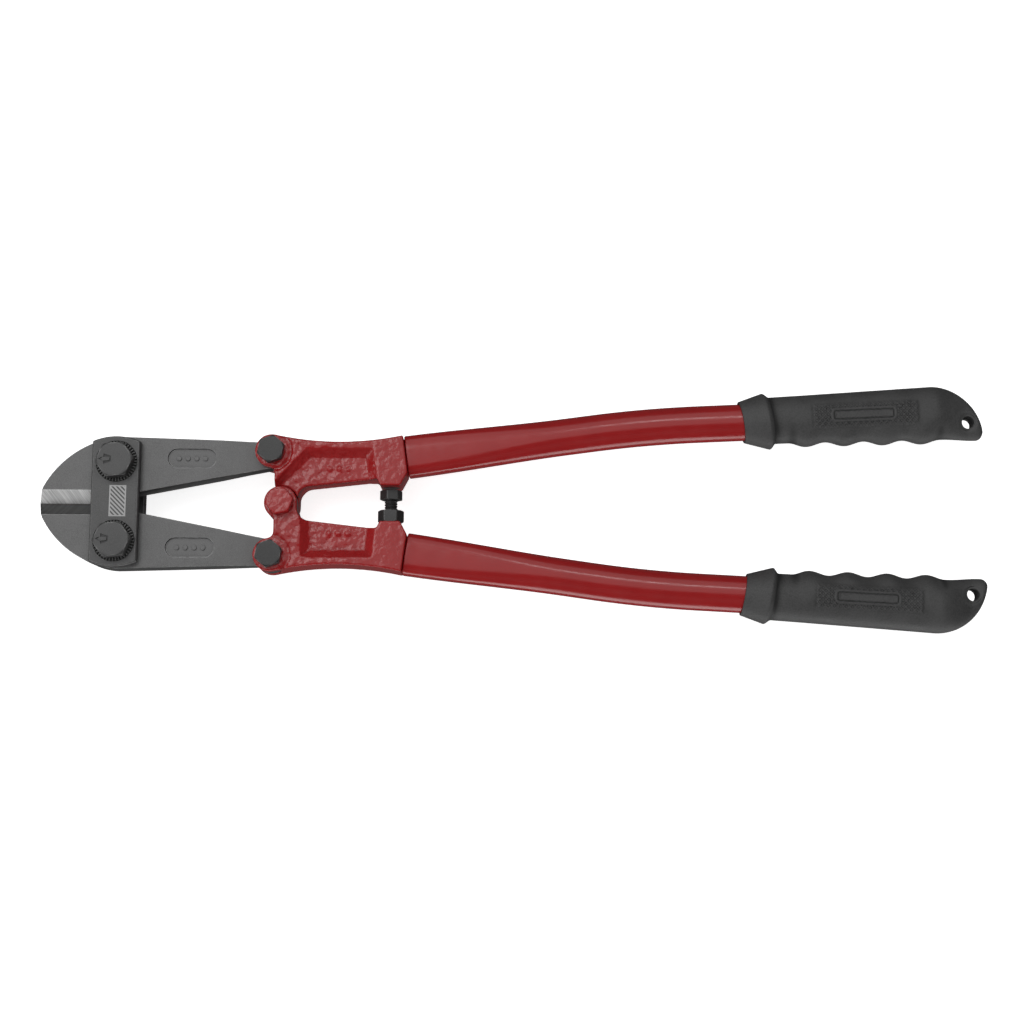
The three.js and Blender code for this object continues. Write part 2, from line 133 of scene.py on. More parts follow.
def makeStudio():
    bpy.ops.mesh.primitive_plane_add(size=studio["floorSize"])
    floor = bpy.context.object
    floor.name = "floor"
    paper = bpy.data.materials.new("pale paper")
    paper.use_nodes = True
    shader = paper.node_tree.nodes["Principled BSDF"].inputs
    shader["Base Color"].default_value = (studio["floorGrey"],) * 3 + (1,)
    shader["Roughness"].default_value = 0.9
    shader["Specular IOR Level"].default_value = 0.1
    shader["Emission Color"].default_value = (1, 1, 1, 1)
    shader["Emission Strength"].default_value = studio["floorGlow"]
    floor.data.materials.append(paper)
    floor.visible_glossy = False  # so that the sides of the steel stay dark, as over a black gap
    floor.visible_diffuse = False
    floor.visible_shadow = False  # the bounce light shines up from under it, as off pale paper
    makeSoftbox("softbox", **studio["softbox"])
    makeSoftbox("left strip", **studio["leftStrip"])
    makeSoftbox("fill box", **studio["fillBox"])
    makeSoftbox("bounce", **studio["bounce"])
    makeSoftbox("spark", **studio["spark"])
    makeSoftbox("tube light", **studio["tubeLight"])
    scene.world = bpy.data.worlds.new("studio")
    scene.world.use_nodes = True
    sky = scene.world.node_tree.nodes["Background"].inputs
    sky["Color"].default_value = (studio["skyGrey"],) * 3 + (1,)
    scene.view_settings.view_transform = "Standard"


makeCamera()
makeStudio()
print("camera and studio set")


# mesh helpers; lengths are in mm and angles in degrees
mergeWithin = 0.002
flatWithin = 0.8
wornAngle = {"from": 14, "full": 34}


def smoothStep(value, low, high):
    t = min(max((value - low) / (high - low), 0), 1)
    return t * t * (3 - 2 * t)


def mix(a, b, t):
    return a + (b - a) * t


def spaced(start, end, step):
    count = max(1, round(abs(end - start) / step))
    return [mix(start, end, i / count) for i in range(count + 1)]


def copyOf(node):  # a node's mesh on the bench, with its loose triangles merged
    bm = bmesh.new()
    bm.from_mesh(frame["nodes"][node].data)
    bm.transform(toBench)
    bmesh.ops.remove_doubles(bm, verts=bm.verts, dist=mergeWithin)
    return bm


def toObject(bm, name):
    mesh = bpy.data.meshes.new(name)
    bm.to_mesh(mesh)
    bm.free()
    made = bpy.data.objects.new(name, mesh)
    scene.collection.objects.link(made)
    return made


def reworked(bm, kind, **settings):  # runs one modifier over a mesh that is being made
    blank = toObject(bm, "blank")
    modifier = blank.modifiers.new(kind, kind)
    for key, value in settings.items():
        setattr(modifier, key, value)
    made = bmesh.new()
    made.from_object(blank, bpy.context.evaluated_depsgraph_get())
    bpy.data.objects.remove(blank)
    return made


def combined(bm, tool, operation):
    cutter = toObject(tool, "cutter")
    made = reworked(bm, "BOOLEAN", object=cutter, operation=operation, solver="EXACT")
    bpy.data.objects.remove(cutter)
    bmesh.ops.remove_doubles(made, verts=made.verts, dist=mergeWithin)
    return made


def wrapped(around, rows, place):  # a grid bent round on itself: place(angle, row) says where a point goes
    bm = bmesh.new()
    last = len(rows) - 1
    bmesh.ops.create_grid(bm, x_segments=around, y_segments=last, size=1)
    for vert in bm.verts:
        column = round((vert.co.x + 1) / 2 * around) % around
        row = round((vert.co.y + 1) / 2 * last)
        vert.co = place(2 * math.pi * column / around, rows[row])
    bmesh.ops.remove_doubles(bm, verts=bm.verts, dist=0.0005)
    bmesh.ops.recalc_face_normals(bm, faces=bm.faces)
    return bm


def aroundAxis(radius, angle, height):
    return Vector((radius * math.cos(angle), radius * math.sin(angle), height))


def turned(profile, steps):  # a lathe: the profile is (radius, height) pairs from axis to axis
    return wrapped(steps, profile, lambda angle, at: aroundAxis(at[0], angle, at[1]))


def plainRod(radius, low, high, steps=48):
    return turned([(0, low), (radius, low), (radius, high), (0, high)], steps)


def prism(points, low, high):  # an outline pulled up along Z
    bm = bmesh.new()
    bmesh.ops.contextual_create(bm, geom=[bm.verts.new((x, y, low)) for x, y in points])
    made = bmesh.ops.extrude_face_region(bm, geom=bm.faces[:])
    lifted = [item for item in made["geom"] if isinstance(item, bmesh.types.BMVert)]
    bmesh.ops.translate(bm, verts=lifted, vec=(0, 0, high - low))
    bmesh.ops.recalc_face_normals(bm, faces=bm.faces)
    return bm


def withPart(bm, other):  # puts another closed shell into the same mesh, and uses it up
    mesh = bpy.data.meshes.new("part")
    other.to_mesh(mesh)
    other.free()
    bm.from_mesh(mesh)
    bpy.data.meshes.remove(mesh)


def smoothed(bm, rounds):
    axes = {"use_axis_x": True, "use_axis_y": True, "use_axis_z": True}
    for _ in range(rounds):
        bmesh.ops.smooth_vert(bm, verts=bm.verts, factor=0.5, **axes)


def planed(bm):  # joins the triangles of each flat face
    bmesh.ops.dissolve_limit(bm, angle_limit=math.radians(flatWithin), verts=bm.verts, edges=bm.edges)


def markLayer(bm, name):
    return bm.verts.layers.float.get(name) or bm.verts.layers.float.new(name)


def eased(bm, width, sharp, keep=None):
    # breaks the edges sharper than some degrees and marks them as worn
    # keep(edge) is true for an edge that stays sharp
    wear = markLayer(bm, "wear")
    limit = math.radians(sharp)
    edges = [edge for edge in bm.edges if edge.is_manifold and edge.calc_face_angle(0) > limit]
    made = bmesh.ops.bevel(
        bm, geom=[edge for edge in edges if not (keep and keep(edge))],
        offset=width, offset_type="OFFSET", affect="EDGES", segments=2,
        profile=0.5, material=-1, clamp_overlap=False, loop_slide=False,
    )
    strip = set(made["faces"])
    for vert in made["verts"]:
        if vert.is_valid and all(face in strip for face in vert.link_faces):
            vert[wear] = 1


def markedWorn(bm):  # marks the sharp edges of a finely gridded piece as worn
    wear = markLayer(bm, "wear")
    for vert in bm.verts:
        sharpest = max((edge.calc_face_angle(0) for edge in vert.link_edges), default=0)
        vert[wear] = smoothStep(math.degrees(sharpest), wornAngle["from"], wornAngle["full"])
    return bm


def markHollows(bm, rounds, depth):  # marks how far each point lies under the smoothed surface
    sunk = markLayer(bm, "sunk")
    bm.normal_update()
    places = [(vert.co.copy(), vert.normal.copy()) for vert in bm.verts]
    smoothed(bm, rounds)
    for vert, (place, normal) in zip(bm.verts, places):
        vert[sunk] = min(max((vert.co - place).dot(normal) / depth, 0), 1)
        vert.co = place


def finished(name, bm, node, materials, crease, flip=False):
    # takes a mesh off the bench and makes it the piece that stands for a node
    if flip:
        bm.transform(halfTurn)
    bm.transform(toFrame)
    piece = toObject(bm, name)
    for material in materials:
        piece.data.materials.append(material)
    piece.data.shade_smooth()
    piece.data.set_sharp_from_angle(angle=math.radians(crease))
    weighted = piece.modifiers.new("weighted normals", "WEIGHTED_NORMAL")
    weighted.keep_sharp = True
    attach(piece, bodyOf[node])
    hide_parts(node)


# material helpers
def shaderOf(material):
    return material.node_tree.nodes["Principled BSDF"]


def newMaterial(name, **sockets):
    material = bpy.data.materials.new(name)
    material.use_nodes = True
    shader = shaderOf(material)
    for socket, value in sockets.items():
        shader.inputs[socket.replace("_", " ")].default_value = value
    return material, shader


def addNode(material, kind, settings=None, **inputs):
    tree = material.node_tree
    node = tree.nodes.new("ShaderNode" + kind)
    for key, value in (settings or {}).items():
        setattr(node, key, value)
    for socket, value in inputs.items():
        which = int(socket[2:]) if socket.startswith("in") else socket.replace("_", " ")
        slot = node.inputs[which]
        if isinstance(value, bpy.types.NodeSocket):
            tree.links.new(value, slot)
        else:
            slot.default_value = value
    return node


def objectPlace(material):
    return addNode(material, "TexCoord").outputs["Object"]


drawnOut = (1, 24, 1000)  # how far the lumps of a grain are stretched where it is drawn out into lines


def grain(material, at, size, detail=2, turn=None):
    # noise whose lumps are about size mm across, or drawn out into long lines that lean by turn from Y
    if turn is not None:
        mapping = addNode(
            material, "Mapping", {"vector_type": "TEXTURE"}, Vector=at, Scale=drawnOut,
            Rotation=(0, 0, math.radians(turn)),
        )
        at = mapping.outputs["Vector"]
    noiseNode = addNode(material, "TexNoise", Vector=at, Scale=1 / (size * mm), Detail=detail)
    return noiseNode.outputs["Fac"]


def ranged(material, value, low, high, fromLow=0.3, fromHigh=0.7):
    node = addNode(
        material, "MapRange", Value=value, From_Min=fromLow, From_Max=fromHigh, To_Min=low, To_Max=high,
    )
    return node.outputs["Result"]


def colourMix(material, factor, low, high):
    node = addNode(material, "Mix", {"data_type": "RGBA"}, in0=factor, in6=low, in7=high)
    return node.outputs[2]


def maths(material, operation, *values):
    inputs = {f"in{i}": value for i, value in enumerate(values)}
    return addNode(material, "Math", {"operation": operation}, **inputs).outputs[0]


def raised(material, shader, height, depth, under=None):  # bump of a given depth in mm
    node = addNode(material, "Bump", Height=height, Distance=depth * mm)
    if under:
        material.node_tree.links.new(under, node.inputs["Normal"])
    material.node_tree.links.new(node.outputs["Normal"], shader.inputs["Normal"])
    return node.outputs["Normal"]


def shadedHollows(material, colour, share, deep):  # painted shade: darker where a point lies sunk under its smoothed surface, in hollows and creases
    sunk = addNode(material, "Attribute", {"attribute_name": "sunk"}).outputs["Fac"]
    return colourMix(material, maths(material, "MULTIPLY", sunk, share), colour, deep)


def linked(material, value, shader, socket):
    material.node_tree.links.new(value, shader.inputs[socket])


def grey(value, warmth=0):
    return (value * (1 + warmth), value, value * (1 - warmth), 1)


# finishes; clouds, patches, skin, grain, rubbing and pores are sizes in mm, and a share or a tone is a factor
enamel = {
    "deep": (0.29, 0.011, 0.012, 1), "light": (0.345, 0.016, 0.017, 1), "hollowShade": (0.16, 0.006, 0.007, 1),
    "hollowShadeShare": 0.5, "roughness": (0.14, 0.26), "cloud": 14, "patch": 5, "skin": 0.7,
}
steel = {
    "grain": 0.32, "grainDepth": 0.05, "cloud": 9, "cloudShare": 0.35, "cloudTone": 1.25,
    "rub": 1.6, "rubShare": (0.15, 0.95), "wornTone": 3.2,
}
ground = {"fine": 0.35, "coarse": 1.1, "coarseShare": 0.6, "depth": 0.06}
rubber = {
    "pore": 0.62, "poreTones": (1.15, 0.8), "poreDepth": 0.07,
    "cloud": 11, "cloudShare": 0.4, "dustTone": 1.5,
    "hollowShadeShare": 0.85, "hollowShadeTone": 0.25, "roughness": (0.5, 0.62),
}


def makeEnamel(name, lumpSize, lumpDepth, skinDepth):
    material, shader = newMaterial(name, Specular_IOR_Level=0.5)
    at = objectPlace(material)
    clouds = grain(material, at, enamel["cloud"])
    coat = colourMix(material, clouds, enamel["deep"], enamel["light"])
    # painted shade in the hollows of the enamel
    coat = shadedHollows(material, coat, enamel["hollowShadeShare"], enamel["hollowShade"])
    linked(material, coat, shader, "Base Color")
    patches = grain(material, at, enamel["patch"])
    linked(material, ranged(material, patches, *enamel["roughness"]), shader, "Roughness")
    lumps = raised(material, shader, grain(material, at, lumpSize), lumpDepth)
    raised(material, shader, grain(material, at, enamel["skin"]), skinDepth, lumps)
    return material


def makeBlackened(name, tone, roughness, metallic, speckle):
    # oxide-blackened steel, speckled by its grain and rubbed lighter along its edges
    material, shader = newMaterial(name, Metallic=metallic)
    at = objectPlace(material)
    fine = grain(material, at, steel["grain"], 3)
    clouds = ranged(material, grain(material, at, steel["cloud"]), 0, steel["cloudShare"])
    low, high = grey(tone * (1 - speckle)), grey(tone * (1 + speckle))
    base = colourMix(material, ranged(material, fine, 0, 1), low, high)
    soft = colourMix(material, clouds, base, grey(tone * steel["cloudTone"]))
    wear = addNode(material, "Attribute", {"attribute_name": "wear"}).outputs["Fac"]
    rubbed = ranged(material, grain(material, at, steel["rub"], 3), *steel["rubShare"])
    patchy = maths(material, "MULTIPLY", wear, rubbed)
    linked(material, colourMix(material, patchy, soft, grey(tone * steel["wornTone"])), shader, "Base Color")
    linked(material, ranged(material, fine, roughness - 0.06, roughness + 0.08), shader, "Roughness")
    raised(material, shader, fine, steel["grainDepth"])
    return material


def makeGround(name, dark, bright, roughness, angle):  # steel ground in one direction, seen as fine lines
    material, shader = newMaterial(name, Metallic=0.3)
    at = objectPlace(material)
    lines = grain(material, at, ground["fine"], 2, angle)
    coarse = grain(material, at, ground["coarse"], 2, angle)
    share = ground["coarseShare"]
    both = maths(material, "MULTIPLY_ADD", coarse, share, maths(material, "MULTIPLY", lines, 1 - share))
    contrast = ranged(material, both, 0, 1, 0.38, 0.62)
    linked(material, colourMix(material, contrast, grey(dark), grey(bright)), shader, "Base Color")
    linked(material, ranged(material, lines, roughness - 0.08, roughness + 0.1), shader, "Roughness")
    raised(material, shader, both, ground["depth"])
    return material


def makeRubber(name, tone):
    material, shader = newMaterial(name, Specular_IOR_Level=0.3)
    at = objectPlace(material)
    scale = 1 / (rubber["pore"] * mm)
    cells = addNode(material, "TexVoronoi", {"feature": "SMOOTH_F1"}, Vector=at, Scale=scale)
    pores = cells.outputs["Distance"]
    clouds = grain(material, at, rubber["cloud"])
    between, within = (grey(tone * share) for share in rubber["poreTones"])
    tint = colourMix(material, ranged(material, pores, 0, 1, 0.1, 0.7), between, within)
    dust = ranged(material, clouds, 0, rubber["cloudShare"])
    dusty = colourMix(material, dust, tint, grey(tone * rubber["dustTone"]))
    # painted shade in the hollows, between the finger bumps and in the moulded pattern
    shaded = shadedHollows(material, dusty, rubber["hollowShadeShare"], grey(tone * rubber["hollowShadeTone"]))
    linked(material, shaded, shader, "Base Color")
    linked(material, ranged(material, clouds, *rubber["roughness"]), shader, "Roughness")
    raised(material, shader, maths(material, "SUBTRACT", 1, pores), rubber["poreDepth"])
    return material


castEnamel = makeEnamel("cast enamel", 3, 0.34, 0.02)
tubeEnamel = makeEnamel("tube enamel", 7, 0.05, 0.012)
jawSteel = makeBlackened("jaw steel", 0.115, 0.46, 0.35, 0.35)
plateSteel = makeBlackened("plate steel", 0.075, 0.46, 0.4, 0.34)
jawBoltSteel = makeBlackened("jaw bolt steel", 0.066, 0.45, 0.45, 0.34)
boltSteel = makeBlackened("bolt steel", 0.038, 0.4, 0.45, 0.28)
screwSteel = makeBlackened("screw steel", 0.045, 0.38, 0.5, 0.2)
# painted shade: a darker copy of the blackened steel, for walls, grooves and recesses
shadedSideSteel = makeBlackened("shaded side steel", 0.045, 0.5, 0.3, 0.25)
# lit and shaded copies of one ground steel: the upper bevel is bare ground steel, painted lighter as if
# catching a reflected light, and the lower one is painted dark as painted shade
litGroundSteel = makeGround("lit ground steel", 0.5, 0.84, 0.5, 34)
shadedGroundSteel = makeGround("shaded ground steel", 0.05, 0.075, 0.42, -34)
gripRubber = makeRubber("grip rubber", 0.058)
print("finishes mixed")

# handle heads
cast = {
    "voxel": 0.42, "softening": 7, "pocket": 3.5, "hollowRounds": 12, "hollowDepth": 0.3,
    "skin": 0.34, "lump": 3.4, "calm": 0.25, "calmFrom": 22, "calmTo": 44,
    "rimRadius": 9.2, "rimWidth": 1.1, "rimDepth": 0.55,
}
castStuds = {
    "count": 3, "x": 27.5, "frontY": 16.8, "backY": 14.5, "pitch": 4.6,
    "radius": 1.5, "draft": 0.7, "height": 0.7, "sunk": 0.5,
}


def castStudRow(y, z):  # a row of low cast studs, where a size mark would stand
    row = bmesh.new()
    rise = castStuds["height"] + castStuds["sunk"]
    for i in range(castStuds["count"]):
        along = (i - (castStuds["count"] - 1) / 2) * castStuds["pitch"]
        centre = Vector((castStuds["x"] + along, y, z))
        stud = bmesh.new()
        bmesh.ops.create_cone(
            stud, cap_ends=True, segments=20, radius1=castStuds["radius"],
            radius2=castStuds["radius"] * castStuds["draft"], depth=rise,
            matrix=Matrix.Translation(centre + Vector((0, 0, rise / 2 - castStuds["sunk"]))),
        )
        withPart(row, stud)
    return row


def makeHead(node, name, lower):
    bm = copyOf(node)
    if lower:
        bm.transform(halfTurn)
    low, high = onBench("handle_head_upper")
    face = (high.z - low.z) / 2
    earX, earY = boltCentre("joint_bolt_upper")
    floorZ = face - cast["pocket"]
    withPart(bm, castStudRow(castStuds["frontY"], floorZ))
    backStuds = castStudRow(castStuds["backY"], floorZ)
    backStuds.transform(Matrix.Scale(-1, 4, (0, 0, 1)))
    bmesh.ops.reverse_faces(backStuds, faces=backStuds.faces)
    withPart(bm, backStuds)
    bm = reworked(bm, "REMESH", mode="VOXEL", voxel_size=cast["voxel"])
    smoothed(bm, cast["softening"])
    bm.normal_update()
    for vert in bm.verts:
        point = vert.co.copy()
        outward = vert.normal.copy()
        ring = math.hypot(point.x - earX, point.y - earY) - cast["rimRadius"]
        rim = cast["rimDepth"] * math.exp(-(ring / cast["rimWidth"]) ** 2)
        if abs(outward.z) > 0.5:
            vert.co.z -= math.copysign(rim, outward.z)
        lump = noise.noise(point / cast["lump"])
        lump += 0.5 * noise.noise(point / (cast["lump"] * 0.45) + Vector((7, 3, 1)))
        rough = mix(1, cast["calm"], smoothStep(point.x, cast["calmFrom"], cast["calmTo"]))
        rough *= smoothStep(abs(outward.z), 0.5, 0.9)  # the side walls stay smooth
        vert.co += outward * lump * cast["skin"] * rough * smoothStep(abs(point.z), 2, 5)
    markHollows(bm, cast["hollowRounds"], cast["hollowDepth"])
    finished(name, bm, node, [castEnamel], 60, lower)


makeHead("handle_head_upper", "cast_head_upper", False)
makeHead("handle_head_lower", "cast_head_lower", True)
print("handle heads cast")

# tubes: straight, then a wide bend, then straight again, with the front end pressed flat
tube = {
    "radius": 8.9, "wall": 1.8, "length": 252, "start": (59.6, 23.6), "slopes": (7.9, 2.8), "bend": (91, 51),
    "spread": 1.3, "press": 1.2, "power": 3.2, "flatLength": 78, "mouth": 0.7, "mouthStep": 0.4,
    "step": 1.6, "boreStep": 6, "around": 112,
}


def pathAt(s):  # the centre line of the upper handle: its point and its slope, s mm from the tube's front end
    first, last = (math.radians(slope) for slope in tube["slopes"])
    start, length = tube["bend"]
    radius = length / (first - last)
    angle = first - min(max(s - start, 0), length) / radius
    before = min(s, start)
    after = max(s - start - length, 0)
    x = before * math.cos(first) + radius * (math.sin(first) - math.sin(angle)) + after * math.cos(angle)
    y = before * math.sin(first) + radius * (math.cos(angle) - math.cos(first)) + after * math.sin(angle)
    return tube["start"][0] + x, tube["start"][1] + y, angle


def besidePath(s, across, up):
    x, y, angle = pathAt(s)
    return Vector((x - across * math.sin(angle), y + across * math.cos(angle), up))


def rounded(value, power):
    return math.copysign(abs(value) ** (2 / power), value)


def tubePoint(angle, row):
    s, inset = row
    t = smoothStep(s, 0, tube["flatLength"])
    across = tube["radius"] + tube["spread"] * (1 - t) - inset
    up = tube["radius"] - tube["press"] * (1 - t) - inset
    power = mix(tube["power"], 2, t)
    return besidePath(s, across * rounded(math.cos(angle), power), up * rounded(math.sin(angle), power))


def makeTube(node, name, lower):
    end, mouth = tube["length"], tube["mouth"]
    quarter = spaced(0, math.pi / 2, tube["mouthStep"])
    lip = [(mouth * (1 - math.cos(angle)), mouth * (1 - math.sin(angle))) for angle in quarter]
    outside = lip + [(s, 0) for s in spaced(mouth, end, tube["step"])[1:]]
    inside = [(s, tube["wall"]) for s in spaced(end, 0, tube["boreStep"])]
    bm = wrapped(tube["around"], outside + inside + [lip[0]], tubePoint)
    finished(name, bm, node, [tubeEnamel], 40, lower)


makeTube("tube_upper", "steel_tube_upper", False)
makeTube("tube_lower", "steel_tube_lower", True)
print("tubes drawn")

# grips: a collar, a body with finger bumps, a knurled patch with a blank panel, and a hanging hole
grip = {
    "overTube": 89, "length": 116, "outerRise": 0.026, "innerRise": 0.02,
    "outer": 2.7, "inner": 3.2, "side": 2.7, "lip": 1.1, "peak": 4.7, "toe": 4.8,
    "peakAt": 11.8, "collarEnd": 15, "bodyAt": 17, "skew": 0.12,
    "fingerHeight": 1, "fingerPinch": 0.13, "fingerPitch": 18.6, "fingerFirst": 31, "fingerCount": 4,
    "endRadius": 24, "endAngles": (30.5, 88.6), "toeRadius": 3, "endDepth": 5.6, "noseRound": 3.2,
    "clearance": 0.3, "power": 2.12, "around": 240, "hollowRounds": 24, "hollowDepth": 0.16,
}
gripStep = {"bore": 4, "collar": 0.6, "body": 1, "patch": 0.36, "toe": 0.9, "end": 0.028}
hangHole = {"radius": 3, "back": 7.2, "inward": 5.4, "dish": 4.3, "dishDepth": 0.5, "drill": 20}
knurl = {"from": 33, "to": 84, "low": -6.6, "high": 5.8, "pitch": 2.8, "depth": 1.25, "fade": 1.2}
panel = {
    "from": 42, "to": 73.5, "low": -3.9, "high": 3.1, "corner": 2.4,
    "border": 0.8, "groove": 0.5, "frameIn": 1.7, "frameWidth": 0.45, "frame": 0.32,
}


def gripOuter(u):
    endStart = grip["length"] - grip["endRadius"]
    edge = tube["radius"] + grip["outer"] + grip["outerRise"] * (min(u, endStart) - grip["bodyAt"])
    beyond = max(u - endStart, 0)
    return edge - grip["endRadius"] + math.sqrt(max(grip["endRadius"] ** 2 - beyond ** 2, 0))


def fingerWave(u):
    # the wave, which is 1 on a finger bump and -1 between two, how far along it is, and where the bumps end
    low = grip["fingerFirst"] - grip["fingerPitch"] / 2
    high = low + grip["fingerPitch"] * grip["fingerCount"]
    past = min(max(u, low), high) - grip["fingerFirst"]
    return math.cos(2 * math.pi * past / grip["fingerPitch"]), past, high


def gripInner(u):
    wave, past, high = fingerWave(u)
    edge = tube["radius"] + grip["inner"] + grip["innerRise"] * past + wave * grip["fingerHeight"]
    toeStart = grip["length"] - grip["toeRadius"]
    beyond = max(u - toeStart, 0)
    cut = grip["toeRadius"] - math.sqrt(max(grip["toeRadius"] ** 2 - beyond ** 2, 0))
    return mix(edge, tube["radius"] + grip["toe"], smoothStep(u, high, toeStart)) - cut


def gripDepth(u):
    t = smoothStep(u, grip["length"] - grip["endRadius"], grip["length"] - hangHole["back"])
    beyond = max(u - grip["length"] + grip["noseRound"], 0) / grip["noseRound"]
    nose = mix(0.45, 1, math.sqrt(max(1 - beyond ** 2, 0)))
    return mix(tube["radius"] + grip["side"], grip["endDepth"], t) * nose


def collarEdge(u, body):
    peak = tube["radius"] + grip["peak"]
    if u <= grip["peakAt"]:
        return mix(tube["radius"] + grip["lip"], peak, u / grip["peakAt"])
    return mix(peak, body, smoothStep(u, grip["peakAt"], grip["collarEnd"]))


def insideRounded(x, y, box, inset=0):  # how far a point is inside a round-cornered rectangle, in mm
    corner = max(box["corner"] - inset, 0.3)
    halfLong = (box["to"] - box["from"]) / 2 - inset - corner
    halfWide = (box["high"] - box["low"]) / 2 - inset - corner
    dx = max(abs(x - (box["from"] + box["to"]) / 2) - halfLong, 0)
    dy = max(abs(y - (box["low"] + box["high"]) / 2) - halfWide, 0)
    return corner - math.hypot(dx, dy)


def zigzag(value):
    return 1 - 2 * abs(value - math.floor(value) - 0.5)


def gripRelief(u, across):  # how far the moulded pattern stands up or sinks in, on the front and the back
    edgeIn = min(u - knurl["from"], knurl["to"] - u, across - knurl["low"], knurl["high"] - across)
    diamond = min(zigzag((u + across) / knurl["pitch"]), zigzag((u - across) / knurl["pitch"]))
    points = knurl["depth"] * (min(0.7, diamond) - 0.45) * smoothStep(edgeIn, 0, knurl["fade"])
    border = insideRounded(u, across, panel)
    if border < -0.5:
        return points
    past = smoothStep(border, panel["border"], panel["border"] + 0.6)
    groove = panel["groove"] * (smoothStep(border, -0.4, 0.3) - past)
    ridge = insideRounded(u, across, panel, panel["frameIn"])
    line = panel["frame"] * smoothStep(panel["frameWidth"] - abs(ridge - panel["frameWidth"]), 0, 0.4)
    return mix(points, 0, smoothStep(border, -0.5, 0)) - groove + line


def gripPoint(angle, row):
    u, bore = row
    start = tube["length"] - grip["overTube"]
    x, z = math.cos(angle), math.sin(angle)
    if bore is not None:
        return besidePath(start + u - grip["skew"] * bore * x, bore * x, bore * z)
    x, z = rounded(x, grip["power"]), rounded(z, grip["power"])
    outer, inner = collarEdge(u, gripOuter(u)), collarEdge(u, gripInner(u))
    across = (outer - inner) / 2 + (outer + inner) / 2 * x
    up = collarEdge(u, gripDepth(u)) * z
    wave, _, lastFinger = fingerWave(u)
    begun = smoothStep(u, grip["fingerFirst"], grip["fingerFirst"] + 6)
    ended = smoothStep(u, lastFinger - 2, lastFinger + 8)
    fingerSide = smoothStep(-x, 0.3, 0.85)
    up *= 1 - grip["fingerPinch"] * (begun * (1 - ended)) * (1 - wave) / 2 * fingerSide
    if abs(z) > 0.3:  # the pattern stops short of the grip's edges
        up += math.copysign(gripRelief(u, across), z)
    hole = math.hypot(u - grip["length"] + hangHole["back"], across + hangHole["inward"])
    dish = hangHole["dishDepth"] * (1 - smoothStep(hole, hangHole["dish"] - 0.5, hangHole["dish"] + 0.3))
    up -= math.copysign(min(dish, abs(up)), z)
    skew = grip["skew"] * (1 - smoothStep(u, grip["collarEnd"], grip["fingerFirst"]))
    return besidePath(start + u - skew * across, across, up)


def makeGrip(node, name, lower):
    bore = tube["radius"] + grip["clearance"]
    length = grip["length"]
    edge = tube["radius"] + grip["lip"]
    inside = [(grip["overTube"] + 0.3, 0), (grip["overTube"] + 0.3, bore)]
    inside += [(u, bore) for u in spaced(grip["overTube"], 0, gripStep["bore"])]
    lip = [(0, mix(bore, edge, t)) for t in (0.3, 0.6)]
    collarRows = spaced(0.15, grip["collarEnd"] + 1, gripStep["collar"])
    bodyRows = spaced(collarRows[-1], knurl["from"], gripStep["body"])[1:]
    patchRows = spaced(knurl["from"], knurl["to"], gripStep["patch"])[1:]
    toeRows = spaced(knurl["to"], length - grip["endRadius"] / 2, gripStep["toe"])[1:]
    radius = grip["endRadius"]
    firstAngle, lastAngle = (math.radians(angle) for angle in grip["endAngles"])
    endRows = [length - radius + radius * math.sin(a) for a in spaced(firstAngle, lastAngle, gripStep["end"])]
    outside = [(u, None) for u in collarRows + bodyRows + patchRows + toeRows + endRows]
    bm = wrapped(grip["around"], inside + lip + outside, gripPoint)
    holes = [edge for edge in bm.edges if edge.is_boundary]
    bmesh.ops.holes_fill(bm, edges=holes, sides=0)
    bmesh.ops.recalc_face_normals(bm, faces=bm.faces)
    drill = plainRod(hangHole["radius"], -hangHole["drill"], hangHole["drill"])
    holeAt = tube["length"] - grip["overTube"] + length - hangHole["back"]
    drill.transform(Matrix.Translation(besidePath(holeAt, -hangHole["inward"], 0)))
    bm = combined(bm, drill, "DIFFERENCE")
    markHollows(bm, grip["hollowRounds"], grip["hollowDepth"])
    finished(name, bm, node, [gripRubber], 45, lower)


makeGrip("grip_upper", "moulded_grip_upper", False)
makeGrip("grip_lower", "moulded_grip_lower", True)
print("grips moulded")

# jaws: forged, with a shallow panel in each face and blades ground to an edge
jaw = {"edge": 0.42, "cutting": 0.32, "meeting": 0.02, "grindTop": 6, "grindEnd": 7}
jawStuds = {
    "count": 4, "pitch": 4.2, "fromBolt": 35.3, "y": 21.6, "z": 4.95,
    "radius": 1.25, "height": 0.9, "round": 0.3,
}


def paintShadeOnSides(bm, index):  # painted shade: gives the walls of a flat piece a darker steel, as if they stood in shadow
    for face in bm.faces:
        if abs(face.normal.z) < 0.45:
            face.material_index = index


def onCuttingLine(edge):
    return any(abs(vert.co.y) < jaw["cutting"] for vert in edge.verts)


def jawStud(place):  # one of a row of low studs in the panel, where a stamped mark would stand
    stud = bmesh.new()
    bmesh.ops.create_cone(
        stud, cap_ends=True, segments=24, radius1=jawStuds["radius"], radius2=jawStuds["radius"],
        depth=jawStuds["height"], matrix=Matrix.Translation(place),
    )
    rims = [edge for edge in stud.edges if edge.calc_face_angle(0) > 1]
    bmesh.ops.bevel(
        stud, geom=rims, offset=jawStuds["round"], affect="EDGES", segments=2, profile=0.5, material=-1,
    )
    return stud


